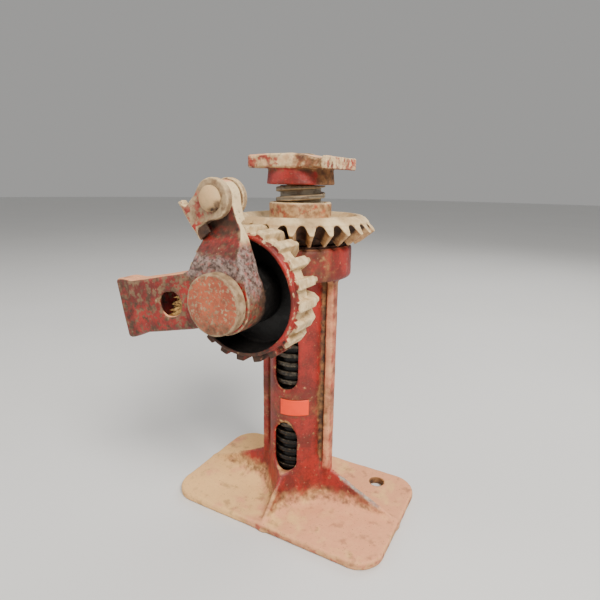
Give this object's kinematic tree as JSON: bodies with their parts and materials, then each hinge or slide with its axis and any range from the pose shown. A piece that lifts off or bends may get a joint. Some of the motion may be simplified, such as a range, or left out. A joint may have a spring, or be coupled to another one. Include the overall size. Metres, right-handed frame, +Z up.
{
  "type": "bevel gear screw jack",
  "caption": "Antique cast-iron screw jack: a flanged base column, a lift screw through a crown bevel gear, a drive gear on a side axle and a flat lever socket with a reversible pawl.",
  "frame": {"origin": "centre of the base plate's underside, on the column's axis", "axes": "+X along the base plate's long side, +Y away from the drive gear and lever, +Z up along the lift screw"},
  "size_m": [0.1574, 0.1396, 0.2412],
  "materials": {
    "worn_red_casting": "old red paint over rough sand-cast iron, worn to cream dust and rust on the edges",
    "dusty_gear_iron": "cream dust and dried grease on cast teeth, dark brown in the gaps",
    "oiled_screw_steel": "grey-brown steel thread with black grease and packed dirt",
    "bearing_steel": "greased hardened bearing steel",
    "dusty_pawl_iron": "cream dust over remains of red paint",
    "worn_axle_iron": "orange-red and brown patina with a bare cream-grey rim",
    "split_ash_wood": "splintered golden-tan wood"
  },
  "bodies": {
    "frame": {"base_column": "worn_red_casting", "lower_race": "bearing_steel", "axle": "worn_axle_iron", "axle_pin": "oiled_screw_steel", "gear_washer": "worn_axle_iron", "hub_washer": "worn_axle_iron"},
    "crown": {"crown_gear": "dusty_gear_iron", "upper_race": "bearing_steel"},
    "balls": {"thrust_ball_01": "bearing_steel", "thrust_ball_02": "bearing_steel", "thrust_ball_03": "bearing_steel", "thrust_ball_04": "bearing_steel", "thrust_ball_05": "bearing_steel", "thrust_ball_06": "bearing_steel", "thrust_ball_07": "bearing_steel", "thrust_ball_08": "bearing_steel", "thrust_ball_09": "bearing_steel", "thrust_ball_10": "bearing_steel", "thrust_ball_11": "bearing_steel", "thrust_ball_12": "bearing_steel", "thrust_ball_13": "bearing_steel", "thrust_ball_14": "bearing_steel", "thrust_ball_15": "bearing_steel", "thrust_ball_16": "bearing_steel"},
    "screw": {"lift_screw": "oiled_screw_steel", "saddle": "worn_red_casting"},
    "driver": {"drive_gear": "dusty_gear_iron"},
    "lever": {"lever_carrier": "worn_red_casting", "handle_stub": "split_ash_wood", "pawl_rivet": "dusty_pawl_iron"},
    "pawl": {"pawl": "dusty_pawl_iron"}
  },
  "joints": [
    {"name": "crown_spin", "type": "hinge", "parent": "frame", "child": "crown", "pos_m": [0, 0, 0.195], "axis": [0, 0, -1], "range_deg": [-553.85, 8501.54]},
    {"name": "ball_orbit", "type": "hinge", "parent": "frame", "child": "balls", "pos_m": [0, 0, 0.1802], "axis": [0, 0, -1], "range_deg": [-278, 4251]},
    {"name": "drive_spin", "type": "hinge", "parent": "frame", "child": "driver", "pos_m": [0, -0.045, 0.164], "axis": [0, -1, 0], "range_deg": [-721, 11053]},
    {"name": "screw_lift", "type": "slide", "parent": "frame", "child": "screw", "axis": [0, 0, 1], "range_m": [-0.0098, 0.1501]},
    {"name": "lever_swing", "type": "hinge", "parent": "frame", "child": "lever", "pos_m": [0, -0.07, 0.164], "axis": [0, -1, 0], "continuous": true},
    {"name": "pawl_flip", "type": "hinge", "parent": "lever", "child": "pawl", "pos_m": [-0.0095, -0.068, 0.2156], "axis": [0, 1, 0], "range_deg": [-9, 231]}
  ],
  "couplings": [
    {"joint": "drive_spin", "follows": "crown_spin", "ratio": 1.3},
    {"joint": "ball_orbit", "follows": "crown_spin", "ratio": 0.5},
    {"joint": "screw_lift", "follows": "crown_spin", "m_per_rad": 0.0010106}
  ]
}
